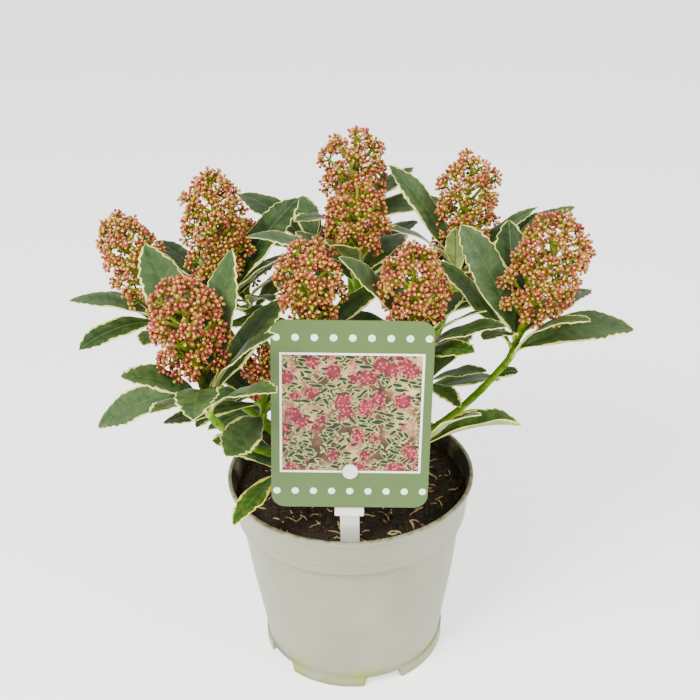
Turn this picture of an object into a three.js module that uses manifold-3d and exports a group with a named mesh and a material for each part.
/*
 * A variegated skimmia in a light grey nursery pot, with a plain plant label.
 *
 * Units are millimetres, +Z is up, the pot stands on z = 0 and its axis is the Z axis. The front is -Y.
 *
 * A short trunk carries twenty boughs. Each bough ends in a leafy shoot, and most shoots
 * end in a panicle of buds. Every shoot is described by a few named sizes; its bough, leaves
 * and panicle are grown from them by the functions below. A leaf that would touch a limb,
 * a panicle, the label or a leaf of another shoot is turned a little, or left out.
 */
import * as THREE from "three";
import { mergeVertices } from "three/addons/utils/BufferGeometryUtils.js";
import Module from "manifold-3d";

const wasm = await Module();
wasm.setup();

// ---------------------------------------------------------------- driving dimensions

const GAP = 0.3;
const SMALLEST_EDGE = 0.1;

const POT = {
  rim: 70, height: 115.4, wall: 1.5, lip: 2.8,
  collarFoot: 66.0, collarFootHeight: 91.8, collarLine: 97.2, collarTop: 68.0,
  neck: 63.6, foot: 53.6, footWall: 2.4, footHeight: 7, heel: 52.3, floor: 2,
  sides: 32,
};
const FOOT_NOTCH = { count: 5, width: 20, height: 6.6, slant: 1.6, first: -72 };
const DRAIN = { count: 6, radius: 4.5, ring: 36, sides: 8 };

const SOIL = { level: 105, lumps: 2.2, flatRadius: 14, rings: [54, 34, 14] };

const CARD = { width: 80, height: 102, thick: 0.8, corner: 7, lean: 6.2, turn: 2.2, foot: [-1, -62, 133] };
const STAKE = { width: 10, thick: 1.4, low: 76, lowY: -55.5, barWidth: 15, barHeight: 4.4, barDepth: 3.2 };
const STUD = { height: 21, pin: 2.4, head: 4, headThick: 1.6, sides: 12 };

const TRUNK = { foot: [2, 3], top: [5, 5, 153], flare: 8.6, flareHeight: 9, base: 5.6, tip: 4.8, sides: 12 };
const BOUGH = { base: 2.5, tip: 2.2, sides: 6, steps: 7, out: 0.45, up: 0.2, bend: 0.33 };
const STEM = { below: 14, above: 5, base: 2.15, tip: 1.8, sides: 6 };

const LEAF = { thick: 1.2, petiole: 1.2, fold: 0.16, width: 0.29, widthSpread: 0.05, stations: [0, 0.26, 0.6] };
const LEAF_ROW = 2.4;
const LEAF_ROWS = 6;
const ROOT_OUT = 1.0;
const TWIST = 24;
const ROLL_RATE = 5;

const PANICLE = {
  stalk: 8, rachis: 1.9, rachisTip: 1.2, branch: 0.9, tuft: 6.6, tufts: 13, span: 1.8, smallRadius: 15,
  core: 0.5, skirt: 0.86, room: 1.2,
};

/*
 * The shoots: whorl is where the leaves crowd, top is the tip of the panicle (or where a leafy
 * shoot points), panicle is its width (0 for none), fork is the height at which the bough leaves
 * the trunk, phase and leaves rule the spiral of leaves.
 */
const SHOOTS = {
  left: { whorl: [-100, 14, 206], top: [-126, 34, 260], panicle: 38, fork: 116.5, phase: 20, leaves: 8 },
  back_left: { whorl: [-68, 22, 212], top: [-71, 32, 284], panicle: 40, fork: 134.5, phase: 70, leaves: 9 },
  front_left: { whorl: [-70, -62, 203], top: [-79, -60, 263], panicle: 45, fork: 124.5, phase: 0, leaves: 10 },
  top: { whorl: [4, 48, 250], top: [7, 52, 299], panicle: 37, fork: 146, phase: 300, leaves: 4 },
  middle: { whorl: [6, 5, 235], top: [7, 12, 283], panicle: 38, fork: 152, phase: 40, leaves: 8 },
  mid_left: { whorl: [-18, -34, 217], top: [-18, -36, 270], panicle: 38, fork: 142, phase: 10, leaves: 7 },
  mid_right: { whorl: [35, -32, 214], top: [32, -38, 267], panicle: 40, fork: 137, phase: 118, leaves: 9 },
  back_right: { whorl: [62, 36, 224], top: [71, 52, 284], panicle: 36, fork: 132.5, phase: 160, leaves: 9 },
  right: { whorl: [90, -12, 204], top: [113, -8, 270], panicle: 45, fork: 117, phase: 124, leaves: 7 },
  low_left: { whorl: [-44, -38, 182], top: [-42, -44, 218], panicle: 24, fork: 132.5, phase: 0, leaves: 5 },
  foot_left: { whorl: [-37, -31, 135], top: [-43, -39, 153], panicle: 0, fork: 110.5, phase: 0, leaves: 2 },
  foot_right: { whorl: [38, -42, 158], top: [43, -50, 176], panicle: 0, fork: 110, phase: 0, leaves: 2 },
  inner_back: { whorl: [-19, 55, 228], top: [-24, 62, 246], panicle: 0, fork: 138, phase: 0, leaves: 5 },
  back: { whorl: [5, 72, 206], top: [5, 82, 256], panicle: 38, fork: 118, phase: 30, leaves: 9 },
  far_back_left: { whorl: [-58, 62, 196], top: [-67, 72, 244], panicle: 38, fork: 123, phase: 80, leaves: 9 },
  far_back_right: { whorl: [60, 62, 194], top: [68, 72, 238], panicle: 36, fork: 122, phase: 50, leaves: 9 },
  foot_back_left: { whorl: [-40, 33, 145], top: [-50, 43, 163], panicle: 0, fork: 111, phase: 15, leaves: 6 },
  foot_back_right: { whorl: [30, 42, 145], top: [36, 54, 163], panicle: 0, fork: 111.5, phase: 150, leaves: 3 },
  inner_left: { whorl: [-52, 7, 170], top: [-64, 12, 190], panicle: 0, fork: 128, phase: 100, leaves: 6 },
  inner_right: { whorl: [43, 14, 163], top: [53, 17, 183], panicle: 0, fork: 127, phase: 60, leaves: 5 },
};

/*
 * The leaves that make the outline, set before the spiral fills the rest:
 * shoot, bearing and rise of the line from root to tip in degrees, length, how far it arches over,
 * and for some how far its blade is rolled about its midrib.
 */
const OUTLINE_LEAVES = [
  ["left", 172, 10, 53, 40], ["left", 220, 2, 53, 50, -20], ["left", 96, 34, 54, 35],
  ["back_left", 24, 48, 70, 25, 15], ["back_left", 326, 42, 58, 18], ["back_left", 58, 16, 48, 67],
  ["back_left", 250, 34, 50, 40], ["back_left", 294, 30, 46, 33], ["front_left", 124, 50, 79, 20],
  ["front_left", 56, 68, 72, 8], ["front_left", 48, 32, 66, 20], ["front_left", 338, 50, 60, 45],
  ["front_left", 316, 30, 58, 35], ["front_left", 238, 28, 62, 50],
  ["front_left", 168, -24, 64, 35, -25], ["front_left", 272, 20, 60, 60],
  ["low_left", 183, -10, 52, 14], ["middle", 196, 26, 64, 40], ["middle", 248, 42, 50, 60],
  ["inner_back", 134, 16, 66, 42], ["inner_back", 100, 32, 43, 54], ["inner_back", 88, 28, 44, 30],
  ["top", 44, 18, 52, 20], ["top", 22, 9, 58, 30, 20], ["back_right", 166, 56, 68, 25, -25],
  ["back_right", 212, 38, 58, 40], ["back_right", 16, 36, 58, 30], ["back_right", 10, 32, 75, 20],
  ["back_right", 258, 78, 37, 34], ["right", 238, 22, 48, 30], ["right", 168, 64, 70, 20, -50],
  ["right", 92, 58, 66, 15], ["right", 156, 52, 62, 25, -10], ["right", 8, 6, 68, 50, 20],
  ["right", 318, 38, 58, 55], ["mid_right", 184, 52, 62, 25, -25], ["mid_right", 44, 10, 50, 30],
  ["mid_right", 330, 38, 46, 30], ["mid_right", 332, 30, 60, 30, 10],
  ["mid_right", 320, 22, 40, 30, 20], ["mid_right", 146, 10, 58, 79],
  ["foot_left", 242, -4, 48, 30], ["foot_left", 202, 40, 50, 60, -45],
  ["inner_right", 330, 24, 40, 30], ["inner_right", 300, 20, 36, 50],
  ["foot_right", 310, 42, 52, 30], ["foot_right", 32, -5, 62, 35, 20],
];

// The spiral that fills each shoot. A leaf of it keeps this many degrees from the bearings of the outline leaves.
const SPIRAL = {
  angle: 137.5, rises: [28, 8, 18], riseSpread: 10, length: 54, lengthSpread: 12, droop: 38, lean: 0.8,
  openSector: 24,
};

// How near a leaf may come to what is not its own shoot, and to its own shoot's leaves past their roots
const CLEAR = { leaf: 4.6, sister: 3.4, limb: 4.2, card: 2.5, soil: 110, rimRadius: 62, rimHeight: 119 };
const SAMPLES = { along: 20, across: 5, rootRows: 6 };
const TURNS = [0, 7, -7, 14, -14];

const COLOUR = {
  pot: 0xc6c8c0, soil: 0x2b1d14, card: 0x9cb083, stake: 0xe9e9e2, bark: 0x8a7a55,
  bough: 0x86a83e, leaf: 0x5d7a5a, panicle: 0xc47a68,
};

// ---------------------------------------------------------------- small helpers

const radians = THREE.MathUtils.degToRad;
const degrees = THREE.MathUtils.radToDeg;
const vector = (x, y, z) => new THREE.Vector3(x, y, z);
const pointOf = (list) => new THREE.Vector3(...list);
const UP = vector(0, 0, 1);

/** A repeatable share from 0 to 1 for a number. */
function noise(n) {
  const value = Math.sin(n * 12.9898) * 43758.5453;
  return value - Math.floor(value);
}

/** The level direction at a bearing, counted from +X towards +Y. */
function heading(bearing) {
  return vector(Math.cos(radians(bearing)), Math.sin(radians(bearing)), 0);
}

/** A point moved along a direction. */
function along(point, direction, distance) {
  return point.clone().addScaledVector(direction, distance);
}

function geometryOf(vertices, faces) {
  const geometry = new THREE.BufferGeometry();
  geometry.setAttribute("position", new THREE.Float32BufferAttribute(vertices, 3));
  geometry.setIndex(faces);
  return geometry;
}

/** The solid that a closed geometry encloses. */
function solidOf(geometry) {
  const bare = geometry.clone();
  bare.deleteAttribute("normal");
  bare.deleteAttribute("uv");
  const merged = mergeVertices(bare, 1e-3);
  const solid = new wasm.Manifold(new wasm.Mesh({
    numProp: 3,
    vertProperties: Float32Array.from(merged.attributes.position.array),
    triVerts: Uint32Array.from(merged.index.array),
  }));
  return solid;
}

/** The largest single body of a solid, with short edges and any sealed hollow dropped. */
function wholeBody(solid) {
  const bodies = solid.simplify(SMALLEST_EDGE).decompose();
  return bodies.reduce((best, body) => (body.volume() > best.volume() ? body : best));
}

function meshOf(name, solid, colour, roughness = 0.6) {
  const result = wholeBody(solid).getMesh();
  const geometry = geometryOf(Array.from(result.vertProperties), Array.from(result.triVerts));
  geometry.computeVertexNormals();
  const material = new THREE.MeshStandardMaterial({ color: colour, roughness, metalness: 0 });
  const mesh = new THREE.Mesh(geometry, material);
  mesh.name = name;
  return mesh;
}

/** A tapering limb: rings of a few sides along points, with flat ends. Rings are square to it unless told. */
function limb(points, radiusAt, sides, plane, squareTo = () => null) {
  const vertices = [];
  const faces = [];
  const last = points.length - 1;
  points.forEach((point, i) => {
    const ahead = points[Math.min(i + 1, last)].clone().sub(points[Math.max(i - 1, 0)]).normalize();
    const forward = squareTo(i) || ahead;
    const right = plane.clone().addScaledVector(forward, -plane.dot(forward)).normalize();
    const over = forward.clone().cross(right);
    const radius = radiusAt(i / last);
    for (let k = 0; k < sides; k += 1) {
      const turn = (2 * Math.PI * k) / sides;
      const corner = along(along(point, right, radius * Math.cos(turn)), over, radius * Math.sin(turn));
      vertices.push(corner.x, corner.y, corner.z);
    }
  });
  for (let i = 0; i < last; i += 1) {
    for (let k = 0; k < sides; k += 1) {
      const a = i * sides + k;
      const b = i * sides + ((k + 1) % sides);
      faces.push(a, b, b + sides, a, b + sides, a + sides);
    }
  }
  for (let k = 1; k < sides - 1; k += 1) {
    faces.push(0, k + 1, k);
    faces.push(last * sides, last * sides + k, last * sides + k + 1);
  }
  return solidOf(geometryOf(vertices, faces));
}

/** A level direction square to a limb that runs from one point to another. */
function planeFor(from, to) {
  const across = to.clone().sub(from).cross(UP);
  return across.length() > 1 ? across.normalize() : vector(1, 0, 0);
}

// ---------------------------------------------------------------- trunk, boughs and stems

const soilTop = SOIL.level;
const trunkFoot = vector(TRUNK.foot[0], TRUNK.foot[1], soilTop + GAP);
const trunkTop = pointOf(TRUNK.top);

function trunkPointAt(height) {
  return trunkFoot.clone().lerp(trunkTop, (height - trunkFoot.z) / (trunkTop.z - trunkFoot.z));
}

function trunkSolid(extra) {
  const length = trunkTop.z - trunkFoot.z;
  const heights = [0, TRUNK.flareHeight * 0.4, TRUNK.flareHeight, length * 0.6, length];
  const radii = [TRUNK.flare, TRUNK.base + 1.1, TRUNK.base, (TRUNK.base + TRUNK.tip) / 2, TRUNK.tip];
  const points = heights.map((height) => trunkPointAt(trunkFoot.z + height));
  points[0].z -= extra;
  points[points.length - 1].z += extra;
  const radiusAt = (share) => radii[Math.round(share * (radii.length - 1))] + extra;
  return limb(points, radiusAt, TRUNK.sides, vector(1, 0, 0), () => UP);
}

/** The direction in which a shoot grows. */
function axisOf(shoot) {
  return pointOf(shoot.top).sub(pointOf(shoot.whorl)).normalize();
}

/** The curve of a bough, from the middle of the trunk to where its shoot's stem begins. */
function boughCurve(shoot) {
  const axis = axisOf(shoot);
  const start = trunkPointAt(Math.min(shoot.fork, trunkTop.z));
  const end = along(pointOf(shoot.whorl), axis, -STEM.below);
  const reach = end.clone().sub(start);
  const outward = vector(reach.x * BOUGH.out, reach.y * BOUGH.out, reach.z * BOUGH.up);
  const inward = axis.clone().add(reach.clone().normalize()).normalize();
  return new THREE.CubicBezierCurve3(
    start,
    start.clone().add(outward),
    along(end, inward, -BOUGH.bend * reach.length()),
    end,
  );
}

function boughSolid(shoot, trunkRoom) {
  const curve = boughCurve(shoot);
  const points = [];
  for (let i = 0; i <= BOUGH.steps; i += 1) points.push(curve.getPoint(i / BOUGH.steps));
  const radiusAt = (share) => THREE.MathUtils.lerp(BOUGH.base, BOUGH.tip, share);
  const plane = planeFor(points[0], points[BOUGH.steps]);
  const endSquare = (i) => (i === BOUGH.steps ? axisOf(shoot) : null);
  return limb(points, radiusAt, BOUGH.sides, plane, endSquare).subtract(trunkRoom);
}

function stemSolid(shoot) {
  const axis = axisOf(shoot);
  const whorl = pointOf(shoot.whorl);
  const points = [along(whorl, axis, GAP - STEM.below), along(whorl, axis, STEM.above)];
  const radiusAt = (share) => THREE.MathUtils.lerp(STEM.base, STEM.tip, share);
  return limb(points, radiusAt, STEM.sides, vector(1, 0, 0));
}

// ---------------------------------------------------------------- leaves

/** Half the width of a leaf at a share of its length, as a share of its greatest half width. */
function leafOutline(share) {
  return share <= 0 || share >= 1 ? 0 : 3.41 * share ** 1.15 * (1 - share) ** 0.7;
}

/** The middle line of an arching leaf, with its direction at each step. */
function leafSpine(leaf, steps) {
  const level = heading(leaf.bearing);
  const points = [leaf.root.clone()];
  const directions = [];
  for (let i = 0; i <= steps; i += 1) {
    const rise = radians(leaf.rise + leaf.droop / 2 - (leaf.droop * i) / steps);
    directions.push(level.clone().multiplyScalar(Math.cos(rise)).addScaledVector(UP, Math.sin(rise)));
  }
  for (let i = 0; i < steps; i += 1) {
    const step = directions[i].clone().add(directions[i + 1]);
    points.push(along(points[i], step, leaf.length / steps / 2));
  }
  return { points, directions };
}

/** The directions across a leaf and out of its upper face, with its twist. */
function leafFrame(leaf, direction, share) {
  const level = heading(leaf.bearing);
  const across = vector(-level.y, level.x, 0);
  const upper = direction.clone().cross(across);
  const turn = radians(leaf.twist * share + leaf.roll * Math.min(share * ROLL_RATE, 1));
  const side = across.clone().multiplyScalar(Math.cos(turn)).addScaledVector(upper, Math.sin(turn));
  return { side, face: direction.clone().cross(side) };
}

/** Points spread over a leaf, row by row from its root. */
function leafSamples(leaf) {
  const { points, directions } = leafSpine(leaf, SAMPLES.along);
  const samples = [];
  points.forEach((point, i) => {
    const share = i / SAMPLES.along;
    const { side } = leafFrame(leaf, directions[i], share);
    const half = (leaf.width / 2) * leafOutline(share);
    for (let k = 0; k < SAMPLES.across; k += 1) {
      samples.push(along(point, side, half * ((2 * k) / (SAMPLES.across - 1) - 1)));
    }
  });
  return samples;
}

/** A leaf as a folded blade: thick along its midrib, thin at its edges, pointed at its tip. */
function leafSolid(leaf) {
  const fine = 50;
  const { points, directions } = leafSpine(leaf, fine);
  const vertices = [];
  const faces = [];
  for (const share of LEAF.stations) {
    const i = Math.round(share * fine);
    const { side, face } = leafFrame(leaf, directions[i], share);
    const half = Math.max(LEAF.petiole, (leaf.width / 2) * leafOutline(share));
    const thick = LEAF.thick * (1 - 0.4 * share);
    const lift = LEAF.fold * half;
    const corners = [
      along(along(points[i], side, half), face, lift),
      along(points[i], face, thick / 2),
      along(along(points[i], side, -half), face, lift),
      along(points[i], face, -thick / 2),
    ];
    for (const corner of corners) vertices.push(corner.x, corner.y, corner.z);
  }
  vertices.push(...points[fine].toArray());
  const last = LEAF.stations.length - 1;
  for (let i = 0; i < last; i += 1) {
    for (let k = 0; k < 4; k += 1) {
      const a = i * 4 + k;
      const b = i * 4 + ((k + 1) % 4);
      faces.push(a, b, b + 4, a, b + 4, a + 4);
    }
  }
  for (let k = 0; k < 4; k += 1) faces.push(last * 4 + k, last * 4 + ((k + 1) % 4), last * 4 + 4);
  faces.push(0, 3, 1, 1, 3, 2);
  return solidOf(geometryOf(vertices, faces));
}

// ---------------------------------------------------------------- panicles as spaces

/** The egg-shaped space of a shoot's panicle, or null. */
function panicleSpace(shoot) {
  if (!shoot.panicle) return null;
  const axis = axisOf(shoot);
  const foot = along(pointOf(shoot.whorl), axis, PANICLE.stalk);
  const top = pointOf(shoot.top);
  return {
    axis, foot, centre: foot.clone().lerp(top, 0.5), half: foot.distanceTo(top) / 2, radius: shoot.panicle / 2,
  };
}

/** Whether a point is inside a panicle, narrowed to a share of its width. */
function insidePanicle(point, space, share) {
  const offset = point.clone().sub(space.centre);
  const height = offset.dot(space.axis);
  const outward = offset.lengthSq() - height * height;
  return (height / space.half) ** 2 + outward / (space.radius * share) ** 2 < 1;
}

// ---------------------------------------------------------------- what leaves keep clear of

const cardLean = radians(CARD.lean);
const cardFoot = pointOf(CARD.foot);
const cardFace = vector(0, -Math.cos(cardLean), Math.sin(cardLean));
const cardUp = vector(0, Math.sin(cardLean), Math.cos(cardLean));

function nearCard(point, room = CLEAR.card) {
  const offset = point.clone().sub(cardFoot);
  const height = offset.dot(cardUp);
  return Math.abs(offset.dot(cardFace)) < room
    && Math.abs(offset.x) < CARD.width / 2 + room
    && height > -room && height < CARD.height + room;
}

function nearPot(point) {
  return point.z < CLEAR.soil || (Math.hypot(point.x, point.y) > CLEAR.rimRadius && point.z < CLEAR.rimHeight);
}

/** Points along a shoot's bough, and along its stem. */
function limbPoints(shoot) {
  const curve = boughCurve(shoot);
  const bough = [];
  for (let i = 0; i < 60; i += 1) bough.push(curve.getPoint(i / 59));
  const stem = [];
  for (let k = 0; k <= 12; k += 1) stem.push(along(pointOf(shoot.whorl), axisOf(shoot), STEM.below * (k / 9 - 1)));
  return { bough, stem };
}

/** Whether any point of one list comes nearer than a distance to any of another. */
function tooNear(first, second, distance) {
  const limit = distance * distance;
  const box = new THREE.Box3().setFromPoints(first).expandByScalar(distance);
  const close = second.filter((point) => box.containsPoint(point));
  return first.some((point) => close.some((other) => point.distanceToSquared(other) < limit));
}

// ---------------------------------------------------------------- growing the leaves

const names = Object.keys(SHOOTS);
const limbs = Object.fromEntries(names.map((name) => [name, limbPoints(SHOOTS[name])]));
const spaces = Object.fromEntries(names.map((name) => [name, panicleSpace(SHOOTS[name])]));
const leaves = [];

function hasRoom(leaf) {
  const { samples, shoot } = leaf;
  if (samples.some((point) => nearCard(point) || nearPot(point))) return false;
  for (const name of names) {
    const own = name === shoot;
    const space = spaces[name];
    const share = own ? PANICLE.core : PANICLE.skirt;
    if (space && samples.some((point) => insidePanicle(point, space, share))) return false;
    const { bough, stem } = limbs[name];
    const limbSet = own ? bough.slice(0, -8) : bough.concat(stem);
    if (tooNear(samples, limbSet, CLEAR.limb)) return false;
  }
  const past = SAMPLES.across * SAMPLES.rootRows;
  return !leaves.some((other) => (other.shoot === shoot
    ? tooNear(samples.slice(past), other.samples.slice(past), CLEAR.sister)
    : tooNear(samples, other.samples, CLEAR.leaf)));
}

/** Sets one leaf on a shoot, turning it a little until it has room. */
function setLeaf(shoot, row, number, [bearing, rise, length, droop, roll = 0]) {
  const { whorl } = SHOOTS[shoot];
  const foot = along(pointOf(whorl), axisOf(SHOOTS[shoot]), -LEAF_ROW * (row % LEAF_ROWS));
  for (const lift of TURNS) {
    for (const swing of TURNS) {
      const leaf = {
        shoot, length, droop, roll, bearing: bearing + swing, rise: rise + lift,
        width: length * (LEAF.width + LEAF.widthSpread * noise(number + 0.3)),
        twist: TWIST * (noise(number + 0.7) - 0.5),
        root: along(foot, heading(bearing + swing), ROOT_OUT),
      };
      leaf.samples = leafSamples(leaf);
      if (hasRoom(leaf)) {
        leaves.push(leaf);
        return true;
      }
    }
  }
  return false;
}

/** Bearing, rise, length and droop of a leaf of the spiral. A leaf on the shoot's low side hangs more. */
function spiralLeaf(shoot, turn, number) {
  const bearing = shoot.phase + turn * SPIRAL.angle;
  const lean = degrees(Math.asin(heading(bearing).dot(axisOf(shoot))));
  const rise = SPIRAL.rises[turn % 3] + SPIRAL.riseSpread * (noise(number) - 0.5) - SPIRAL.lean * lean;
  const length = SPIRAL.length + SPIRAL.lengthSpread * (noise(number + 0.5) - 0.5);
  return [bearing, rise, length, SPIRAL.droop];
}

/** Whether a bearing is close to that of one of the shoot's outline leaves. */
function facesOutlineLeaf(name, bearing) {
  return OUTLINE_LEAVES.some(([shoot, other]) => {
    const turn = (((bearing - other + 180) % 360) + 360) % 360;
    return shoot === name && Math.abs(turn - 180) < SPIRAL.openSector;
  });
}

function growLeaves() {
  const count = Object.fromEntries(names.map((name) => [name, 0]));
  let number = 0;
  for (const [shoot, ...pose] of OUTLINE_LEAVES) {
    number += 1;
    if (setLeaf(shoot, count[shoot], number, pose)) count[shoot] += 1;
  }
  for (const name of names) {
    const most = SHOOTS[name].leaves;
    for (let turn = 0; turn < most * 2; turn += 1) {
      number += 1;
      const pose = spiralLeaf(SHOOTS[name], turn, number);
      if (count[name] === most || facesOutlineLeaf(name, pose[0])) continue;
      if (setLeaf(name, count[name], number, pose)) count[name] += 1;
    }
  }
}

// ---------------------------------------------------------------- panicles

const tufts = [];

/** Where the side branches of a panicle end: a spiral over its egg, from tip to foot. */
function tuftPlaces(name) {
  const space = spaces[name];
  const first = vector(0, 1, 0.3).cross(space.axis).normalize();
  const second = space.axis.clone().cross(first);
  const small = space.radius < PANICLE.smallRadius;
  const total = small ? PANICLE.tufts / 2 : PANICLE.tufts;
  const size = small ? PANICLE.tuft * 0.7 : PANICLE.tuft;
  const places = [];
  for (let i = 0; i < total; i += 1) {
    const level = 1 - (PANICLE.span * (i + 0.5)) / total;
    const turn = radians(i * SPIRAL.angle + SHOOTS[name].phase);
    const outward = first.clone().multiplyScalar(Math.cos(turn)).addScaledVector(second, Math.sin(turn));
    const spread = Math.sqrt(1 - level * level) * space.radius;
    const height = level * space.half;
    const lowest = 2 - space.half;
    const fork = along(space.centre, space.axis, Math.min(Math.max(height - spread * 0.7, lowest), space.half * 0.6));
    const end = along(along(space.centre, space.axis, height), outward, spread);
    places.push({ name, fork, end, size: size * (0.9 + 0.2 * noise(i + SHOOTS[name].phase)) });
  }
  return places;
}

/** A side branch that widens into a tuft of buds with a blunt end. */
function tuftSolid({ fork, end, size }) {
  const outward = end.clone().sub(fork).normalize();
  const points = [fork, along(end, outward, -size), end];
  const radiusAt = (share) => [PANICLE.branch, size, size * 0.35][Math.round(share * 2)];
  return limb(points, radiusAt, 4, planeFor(fork, end));
}

/** A panicle: a rachis with side branches, each ending in a tuft of buds. */
function panicleSolid(name) {
  const space = spaces[name];
  const start = along(pointOf(SHOOTS[name].whorl), space.axis, STEM.above + GAP);
  const tip = along(space.centre, space.axis, space.half * 0.9);
  const radiusAt = (share) => THREE.MathUtils.lerp(PANICLE.rachis, PANICLE.rachisTip, share);
  const pieces = [limb([start, tip], radiusAt, 5, vector(1, 0, 0))];
  for (const place of tuftPlaces(name)) {
    const middle = place.end.clone().lerp(place.fork, place.size / place.end.distanceTo(place.fork));
    const crowded = tufts.some((tuft) => (
      tuft.name !== name && tuft.middle.distanceTo(middle) < tuft.size + place.size + 1));
    const touched = leaves.some((leaf) => tooNear([middle], leaf.samples, place.size + PANICLE.room));
    if (crowded || touched || nearCard(middle, place.size + PANICLE.room)) continue;
    tufts.push({ ...place, middle });
    pieces.push(tuftSolid(place));
  }
  return wasm.Manifold.union(pieces);
}

// ---------------------------------------------------------------- pot and soil

/** The inner wall of the pot from its floor to its rim, as [radius, height] pairs. */
function innerWall() {
  const w = POT.wall;
  return [
    [POT.heel - w, POT.footHeight + POT.floor],
    [POT.neck - w, POT.collarFootHeight - 1],
    [POT.collarFoot - w, POT.collarLine],
    [POT.collarTop - w, POT.height - POT.lip],
    [POT.rim - w - 0.4, POT.height],
  ];
}

function turned(profile, sides) {
  const points = profile.map(([radius, height]) => new THREE.Vector2(radius, height));
  return new THREE.LatheGeometry(points, sides).rotateX(Math.PI / 2);
}

function potSolid() {
  const underside = POT.footHeight;
  const profile = [
    [0, underside],
    [POT.foot - POT.footWall, underside],
    [POT.foot - POT.footWall, 0],
    [POT.foot, 0],
    [POT.heel + 0.9, underside - 0.2],
    [POT.heel, underside + 0.6],
    [POT.neck, POT.collarFootHeight - 0.8],
    [POT.collarFoot, POT.collarFootHeight],
    [POT.collarFoot + 0.5, POT.collarLine],
    [POT.collarTop, POT.height - POT.lip],
    [POT.rim - 0.4, POT.height - POT.lip + 0.4],
    [POT.rim, POT.height - 0.8],
    [POT.rim - 0.7, POT.height],
    ...innerWall().reverse(),
    [0, POT.footHeight + POT.floor],
  ];
  let solid = solidOf(turned(profile, POT.sides));
  for (let i = 0; i < FOOT_NOTCH.count; i += 1) {
    solid = solid.subtract(notchSolid(FOOT_NOTCH.first + (360 / FOOT_NOTCH.count) * i));
  }
  for (let i = 0; i < DRAIN.count; i += 1) {
    const at = heading((360 / DRAIN.count) * i).multiplyScalar(DRAIN.ring);
    const hole = new THREE.CylinderGeometry(DRAIN.radius, DRAIN.radius, 4 * POT.floor, DRAIN.sides);
    hole.rotateX(Math.PI / 2).translate(at.x, at.y, underside + POT.floor / 2);
    solid = solid.subtract(solidOf(hole));
  }
  return solid;
}

/** The wedge cut out of the foot ring for drainage: wider below than above. */
function notchSolid(bearing) {
  const half = FOOT_NOTCH.width / 2;
  const outline = new THREE.Shape([
    new THREE.Vector2(-half - FOOT_NOTCH.slant, -1),
    new THREE.Vector2(half + FOOT_NOTCH.slant, -1),
    new THREE.Vector2(half, FOOT_NOTCH.height),
    new THREE.Vector2(-half, FOOT_NOTCH.height),
  ]);
  const wedge = new THREE.ExtrudeGeometry(outline, { depth: POT.foot, bevelEnabled: false });
  wedge.rotateX(Math.PI / 2).rotateZ(radians(bearing + 90));
  const start = heading(bearing).multiplyScalar(POT.foot * 0.6);
  return solidOf(wedge.translate(start.x, start.y, 0));
}

function soilSolid() {
  const wall = innerWall().map(([radius, height]) => [radius - GAP, height]);
  wall[0][1] += GAP;
  const top = wall.findIndex(([, height]) => height > soilTop);
  const [low, high] = [wall[top - 1], wall[top]];
  const share = (soilTop - low[1]) / (high[1] - low[1]);
  const edge = low[0] + (high[0] - low[0]) * share;
  const profile = [
    [0, wall[0][1]],
    ...wall.slice(0, top),
    [edge, soilTop],
    ...SOIL.rings.map((radius) => [radius, soilTop]),
    [0, soilTop],
  ];
  const geometry = turned(profile, POT.sides);
  const places = geometry.attributes.position;
  for (let i = 0; i < places.count; i += 1) {
    const x = places.getX(i);
    const y = places.getY(i);
    const radius = Math.hypot(x, y);
    if (places.getZ(i) < soilTop - 0.01 || radius > edge - 0.5 || radius < SOIL.flatRadius + 0.5) continue;
    const step = Math.round(Math.atan2(y, x) * 40) + Math.round(radius) * 7;
    places.setZ(i, soilTop + SOIL.lumps * (noise(step) - 0.6));
  }
  return solidOf(geometry);
}

// ---------------------------------------------------------------- label

/** The stake's blade, seen from the side: straight up from the soil, then leaning back behind the card. */
function bladeSolid(extra) {
  const back = CARD.thick / 2 + GAP;
  const clip = along(cardFoot, cardFace, -back);
  const head = along(clip, cardUp, STUD.height + 5);
  const thick = STAKE.thick + 2 * extra;
  const outline = new THREE.Shape([
    new THREE.Vector2(STAKE.lowY - extra, STAKE.low - extra),
    new THREE.Vector2(clip.y - extra, clip.z),
    new THREE.Vector2(head.y - extra, head.z + extra),
    new THREE.Vector2(head.y - extra + thick, head.z + extra),
    new THREE.Vector2(clip.y - extra + thick, clip.z),
    new THREE.Vector2(STAKE.lowY - extra + thick, STAKE.low - extra),
  ]);
  const width = STAKE.width + 2 * extra;
  const blade = new THREE.ExtrudeGeometry(outline, { depth: width, bevelEnabled: false });
  blade.applyMatrix4(new THREE.Matrix4().makeBasis(vector(0, 1, 0), vector(0, 0, 1), vector(1, 0, 0)));
  return solidOf(blade.translate(cardFoot.x - width / 2, 0, 0));
}

/** A round peg across the card, at a height above its lower edge. */
function pegSolid(radius, from, to, height) {
  const peg = new THREE.CylinderGeometry(radius, radius, to - from, STUD.sides);
  const centre = along(along(cardFoot, cardUp, height), cardFace, (from + to) / 2);
  const turn = new THREE.Quaternion().setFromUnitVectors(vector(0, 1, 0), cardFace);
  peg.applyQuaternion(turn).translate(...centre.toArray());
  return solidOf(peg);
}

function stakeSolid() {
  const front = CARD.thick / 2 + GAP;
  const bar = new THREE.BoxGeometry(STAKE.barWidth, STAKE.barDepth, STAKE.barHeight);
  const at = along(along(cardFoot, cardUp, -STAKE.barHeight / 2 - GAP), cardFace, STAKE.barDepth / 2 - front - 1);
  bar.rotateX(-cardLean).translate(...at.toArray());
  return wasm.Manifold.union([
    bladeSolid(0),
    solidOf(bar),
    pegSolid(STUD.pin, -front - 0.5, front + 0.5, STUD.height),
    pegSolid(STUD.head, front, front + STUD.headThick, STUD.height),
  ]);
}

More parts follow.
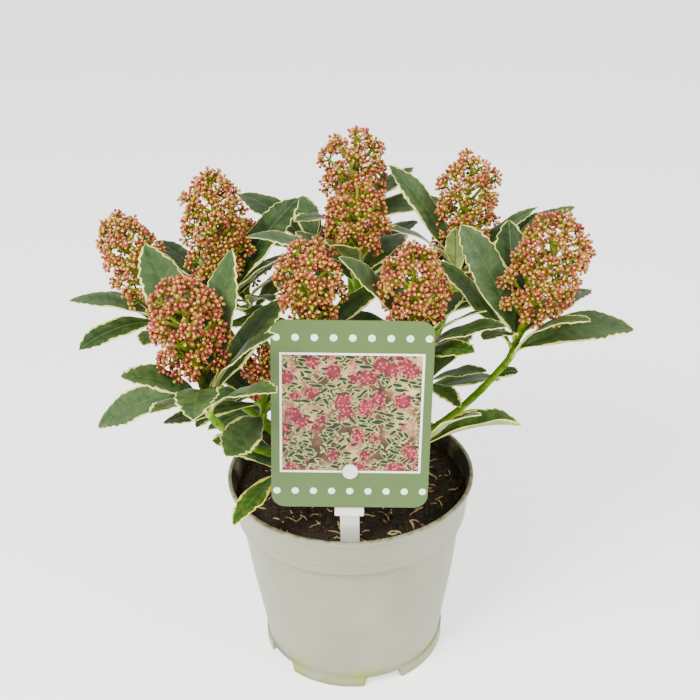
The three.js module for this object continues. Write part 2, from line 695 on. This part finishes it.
function cardSolid() {
  const { width, height, corner, thick } = CARD;
  const half = width / 2;
  const outline = new THREE.Shape();
  outline.moveTo(-half + corner, 0);
  outline.lineTo(half - corner, 0);
  outline.quadraticCurveTo(half, 0, half, corner);
  outline.lineTo(half, height - corner);
  outline.quadraticCurveTo(half, height, half - corner, height);
  outline.lineTo(-half + corner, height);
  outline.quadraticCurveTo(-half, height, -half, height - corner);
  outline.lineTo(-half, corner);
  outline.quadraticCurveTo(-half, 0, -half + corner, 0);
  const card = new THREE.ExtrudeGeometry(outline, { depth: thick, bevelEnabled: false, curveSegments: 5 });
  const turn = new THREE.Matrix4().makeRotationZ(-radians(CARD.turn));
  const right = vector(1, 0, 0);
  const lean = new THREE.Matrix4().makeBasis(right, cardUp, cardFace);
  card.translate(0, 0, -thick / 2).applyMatrix4(turn).applyMatrix4(lean).translate(...cardFoot.toArray());
  const hole = pegSolid(STUD.pin + GAP, -thick, thick, STUD.height);
  return solidOf(card).subtract(hole);
}

// ---------------------------------------------------------------- assembly

const plant = new THREE.Group();
const trunkRoom = trunkSolid(GAP);

plant.add(meshOf("pot", potSolid(), COLOUR.pot, 0.55));
plant.add(meshOf("soil", soilSolid().subtract(bladeSolid(GAP)), COLOUR.soil, 0.95));
plant.add(meshOf("label_card", cardSolid(), COLOUR.card, 0.45));
plant.add(meshOf("label_stake", stakeSolid(), COLOUR.stake, 0.4));
plant.add(meshOf("trunk", trunkSolid(0), COLOUR.bark, 0.8));

growLeaves();
for (const name of names) {
  const shoot = SHOOTS[name];
  const blades = leaves.filter((leaf) => leaf.shoot === name).map(leafSolid);
  plant.add(meshOf(`bough_${name}`, boughSolid(shoot, trunkRoom), COLOUR.bough, 0.6));
  plant.add(meshOf(`leaves_${name}`, wasm.Manifold.union([stemSolid(shoot), ...blades]), COLOUR.leaf, 0.5));
}
for (const name of names.filter((each) => SHOOTS[each].panicle)) {
  plant.add(meshOf(`bloom_${name}`, panicleSolid(name), COLOUR.panicle, 0.6));
}

export default plant;
